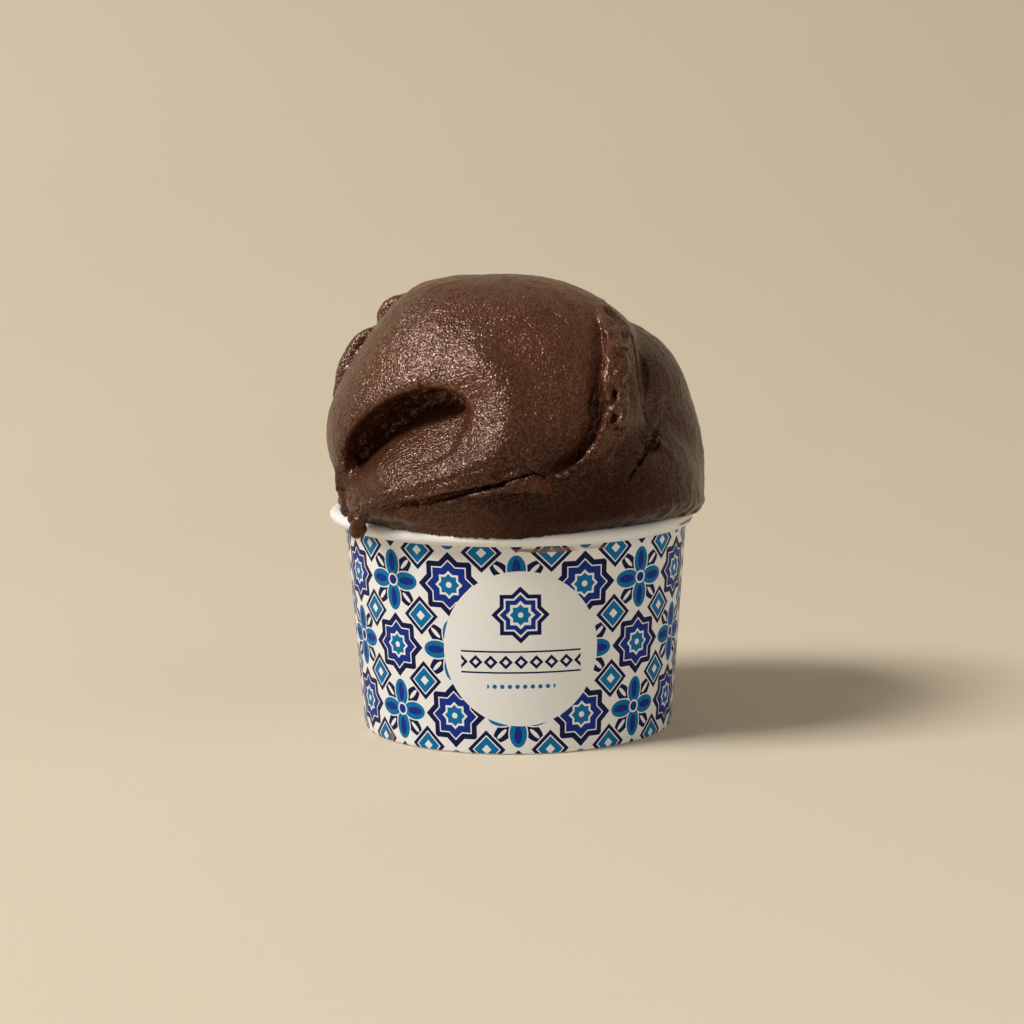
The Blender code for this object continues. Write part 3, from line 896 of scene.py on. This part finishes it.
# Colours of the print, the paper and the gelato smeared on it.
NAVY = (0.006, 0.009, 0.065)
BLUE = (0.009, 0.030, 0.240)
TEAL = (0.004, 0.150, 0.370)
PAPER = (0.79, 0.795, 0.80)
SMEAR = (0.26, 0.115, 0.045)
BOARD_DARK = (0.70, 0.66, 0.58)
BOARD_PALE = (0.78, 0.75, 0.68)

# The print: tiles round the cup, square where its radius is TILE_RADIUS, and the pale roundel at the front.
# It stops a margin under the rim, and this deep into the paper. In millimetres.
TILES_ROUND = 16
TILE_RADIUS = 38.2
TILE = math.tau * TILE_RADIUS / TILES_ROUND
TILES_FROM = 1.2
PRINT_MARGIN = 0.1
PRINT_EDGE = 0.2
PRINT_DEPTH = 0.12
ROUNDEL_SHIFT = 0.8
ROUNDEL_HEIGHT = 24.4
ROUNDEL_RADIUS = 17.7
# In the roundel, each up from its middle: a star, a strip of diamonds between two rules, and a row of dots.
EMBLEM_RISE = 7.8
STRIP_RISE = -3.0
STRIP_HALF_LENGTH = 13.6
DIAMOND_SPACING = 3.4
RULES_FROM = 2.2
RULES_TO = 2.6
DOTS_RISE = -8.6
DOTS_HALF_LENGTH = 7.65
DOT_SPACING = 1.7
DOT_RADIUS = 0.5
# What turns x + y into the distance along a diagonal.
SLANT = math.sqrt(0.5)
# A brown drop at the foot, left of the roundel: middle and half sizes, round the cup and up.
DROP = ((-34.0, 1.4), (0.837, 1.08))


def distance(x, y):
    return (x * x + y * y).math("SQRT")


def star_distance(x, y):
    """Like a distance from the middle, but level along an eight-pointed star."""
    return abs(x).most(abs(y)).least((abs(x) + abs(y)) * SLANT)


def printed_paper():
    """White paper with a plain tile pattern and a pale roundel. In a tile, sizes are shares of its width."""
    finish = Finish("printed_paper", roughness=0.5, specular=0.08)
    x, y, z = finish.axes()
    angle = x.math("ARCTAN2", y * -1.0)
    around = angle * (TILES_ROUND / math.tau) + 0.5
    up = (z - TILES_FROM) / TILE
    parity = around.math("FLOOR") + up.math("FLOOR")
    odd = (parity * 0.5).math("FRACT") * 2.0
    tx, ty = around.math("FRACT") - 0.5, up.math("FRACT") - 0.5

    star = star_distance(tx, ty)
    wide, narrow = abs(tx).most(abs(ty)), abs(tx).least(abs(ty))
    diagonal = (abs(tx) + abs(ty)) * SLANT
    across = abs(abs(tx) - abs(ty)) * SLANT
    radius = distance(tx, ty)
    corner = 1.0 - abs(tx) - abs(ty)

    # a rosette on every other tile: leaves along the diagonals and petals along the axes
    rosette = finish.rings(PAPER, oval(diagonal, across, (0.30, 0), (0.22, 0.115)), (1.0, NAVY))
    rosette = finish.rings(rosette, oval(diagonal, across, (0.36, 0), (0.10, 0.030)), (1.0, PAPER))
    outer_petal = oval(wide, narrow, (0.255, 0), (0.210, 0.135))
    rosette = finish.rings(rosette, outer_petal, (1.3, PAPER), (1.0, TEAL))
    rosette = finish.rings(rosette, oval(wide, narrow, (0.27, 0), (0.14, 0.060)), (1.0, BLUE))
    rosette = finish.rings(rosette, radius, (0.10, PAPER), (0.072, BLUE))

    # a star on the others, and a diamond over every corner where four tiles meet
    star_rings = ((0.352, NAVY), (0.270, PAPER), (0.252, BLUE), (0.150, PAPER), (0.118, TEAL))
    star_tile = finish.rings(PAPER, star, *star_rings)
    star_tile = finish.rings(star_tile, radius, (0.045, PAPER))
    colour = finish.mix(odd.ramp(0.4, 0.6), rosette, star_tile)
    corner_rings = ((0.33, PAPER), (0.30, NAVY), (0.225, PAPER), (0.20, TEAL), (0.075, PAPER))
    colour = finish.rings(colour, corner, *corner_rings)

    # the pale roundel
    side = angle * (z * WALL_TAPER + FOOT_RADIUS) - ROUNDEL_SHIFT
    rise = z - ROUNDEL_HEIGHT
    width = abs(side)
    colour = finish.rings(colour, distance(side, rise), (ROUNDEL_RADIUS, PAPER))
    emblem_rise = rise - EMBLEM_RISE
    emblem_rings = ((4.6, NAVY), (3.7, PAPER), (3.3, BLUE), (2.3, PAPER), (1.7, TEAL))
    colour = finish.rings(colour, star_distance(side, emblem_rise), *emblem_rings)
    colour = finish.rings(colour, distance(side, emblem_rise), (0.6, PAPER))
    strip = abs(rise - STRIP_RISE)
    in_strip = width.below(STRIP_HALF_LENGTH)
    diamond = abs((side / DIAMOND_SPACING + 0.5).math("FRACT") - 0.5) * DIAMOND_SPACING + strip
    colour = finish.mix(diamond.below(1.6) * in_strip, colour, NAVY)
    colour = finish.mix(diamond.below(0.7) * in_strip, colour, PAPER)
    rules = strip.below(RULES_TO) - strip.below(RULES_FROM)
    colour = finish.mix(rules * in_strip, colour, NAVY)
    dot_side = ((side / DOT_SPACING).math("FRACT") - 0.5) * DOT_SPACING
    dot = distance(dot_side, rise - DOTS_RISE).below(DOT_RADIUS)
    colour = finish.mix(dot * width.below(DOTS_HALF_LENGTH), colour, TEAL)

    # the rim, the inside and the fold are unprinted
    outward = distance(x, y) - (z * WALL_TAPER + (FOOT_RADIUS - PRINT_DEPTH))
    top = RIM_LOW - PRINT_MARGIN
    bare = (outward * -1.0).ramp(0.0, 0.05).most(z.ramp(top - PRINT_EDGE, top))
    colour = finish.mix(bare, colour, PAPER)

    # gelato smeared under the rim at the front and on the rim at the right, and a drop at the foot
    brushed = finish.noise(3.0, detail=3.0, stretch=(0.35, 0.35, 2.2))
    under_rim = side.between(-8.0, 2.0, 19.0, 24.0) * z.between(45.4, 46.6, 46.9, 47.7)
    on_rim = side.between(37.0, 46.0, 66.0, 78.0) * z.between(48.2, 48.9, 49.2, 50.0)
    smear = (under_rim.most(on_rim) * brushed).ramp(0.38, 0.56).most(oval(side, z, *DROP).below(1.0))
    finish.colour(finish.mix(smear * 0.85, colour, SMEAR))
    fibre = finish.noise(0.35, detail=3.0)
    finish.roughness(fibre.ramp(0.3, 0.7, 0.38, 0.5))
    finish.bump(fibre, depth=0.02)
    return finish.material


def plain_board():
    finish = Finish("base_paper", roughness=0.6)
    fibre = finish.noise(0.5, detail=3.0)
    finish.colour(finish.mix(fibre.ramp(0.3, 0.7), BOARD_DARK, BOARD_PALE))
    finish.bump(fibre, depth=0.03)
    return finish.material


# ---------------- the stage
# The stage's sizes and places, in metres.
FLOOR_REACH = 9.0
BACKDROP_FROM = 0.25
BACKDROP_RADIUS = 1.6
BACKDROP_HEIGHT = 3.5
SWEEP_DARK = (0.68, 0.60, 0.475)
SWEEP_PALE = (0.695, 0.615, 0.49)
# The room's light is stronger near the horizon than overhead: how far up, from 0 to 1, and how strong.
ROOM_COLOUR = (0.81, 0.76, 0.66, 1)
ROOM_HEIGHTS = (0.05, 0.6)
ROOM_STRENGTHS = (0.50, 0.25)
LIT_POINT = Vector((0, 0, 0.05))
KEY_LIGHT = {"place": (-1.36, -0.62, 1.62), "size": 0.7, "power": 46, "colour": (1.0, 0.965, 0.91)}
SIDE_LIGHT = {"place": (1.60, -0.90, 0.90), "size": 1.8, "power": 7, "colour": (1.0, 0.96, 0.90)}
# The camera as fitted to the photograph, its lens and sensor in millimetres and its roll in degrees.
CAMERA_PLACE = Vector((0, -0.564, 0.1279))
CAMERA_TARGET = Vector((-0.0009, 0, 0.0498))
CAMERA_ROLL = -0.66
CAMERA_LENS = 85
CAMERA_SENSOR = 36


def sweep():
    """A plain seamless floor that rises slowly into a backdrop."""
    profile = [(-FLOOR_REACH, 0.0)]
    for angle in np.linspace(0, math.pi / 2, 40):
        y = BACKDROP_FROM + BACKDROP_RADIUS * math.sin(angle)
        profile.append((y, BACKDROP_RADIUS - BACKDROP_RADIUS * math.cos(angle)))
    profile.append((BACKDROP_FROM + BACKDROP_RADIUS, BACKDROP_HEIGHT))
    corners = [(x, y, z) for y, z in profile for x in (-FLOOR_REACH, FLOOR_REACH)]
    mesh = bpy.data.meshes.new("sweep")
    mesh.from_pydata(corners, [], [(i, i + 1, i + 3, i + 2) for i in range(0, len(corners) - 2, 2)])
    mesh.shade_smooth()
    finish = Finish("paper_sweep", roughness=0.9, specular=0.2)
    finish.colour(finish.mix(finish.noise(400.0).ramp(0.3, 0.7), SWEEP_DARK, SWEEP_PALE))
    new_object("sweep", mesh, finish.material)


def soft_light(name, place, size, power, colour):
    light = bpy.data.lights.new(name, "AREA")
    light.size = size
    light.energy = power
    light.color = colour
    thing = new_object(name, light)
    thing.location = place
    thing.rotation_euler = (LIT_POINT - Vector(place)).to_track_quat("-Z", "Y").to_euler()
    return thing


def light_the_room():
    world = bpy.data.worlds.new("soft_room")
    world.use_nodes = True
    tree = world.node_tree
    background = tree.nodes["Background"]
    background.inputs["Color"].default_value = ROOM_COLOUR
    way = tree.nodes.new("ShaderNodeSeparateXYZ")
    tree.links.new(tree.nodes.new("ShaderNodeTexCoord").outputs["Generated"], way.inputs[0])
    strength = Number(tree, way.outputs["Z"]).ramp(*ROOM_HEIGHTS, *ROOM_STRENGTHS)
    tree.links.new(strength.socket, background.inputs["Strength"])
    bpy.context.scene.world = world
    soft_light("key", **KEY_LIGHT)
    side = soft_light("side", **SIDE_LIGHT)
    side.visible_glossy = False


def place_camera():
    camera = bpy.data.cameras.new("camera")
    camera.lens = CAMERA_LENS
    camera.sensor_width = CAMERA_SENSOR
    thing = new_object("camera", camera)
    facing = (CAMERA_TARGET - CAMERA_PLACE).to_track_quat("-Z", "Y").to_matrix().to_4x4()
    roll = Matrix.Rotation(math.radians(CAMERA_ROLL), 4, "Z")
    thing.matrix_world = Matrix.Translation(CAMERA_PLACE) @ facing @ roll
    bpy.context.scene.camera = thing
    bpy.context.scene.view_settings.view_transform = "Standard"


def main():
    light_the_room()
    place_camera()
    sweep()

    gelato = new_object("gelato_heap", gelato_mesh(), gelato_finish())
    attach(gelato, "root")
    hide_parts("gelato")

    cup = new_object("printed_cup", cup_wall_mesh(), printed_paper())
    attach(cup, "root")
    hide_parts("cup_wall")

    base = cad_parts["cup_base"]
    base.data.materials.clear()
    base.data.materials.append(plain_board())


main()
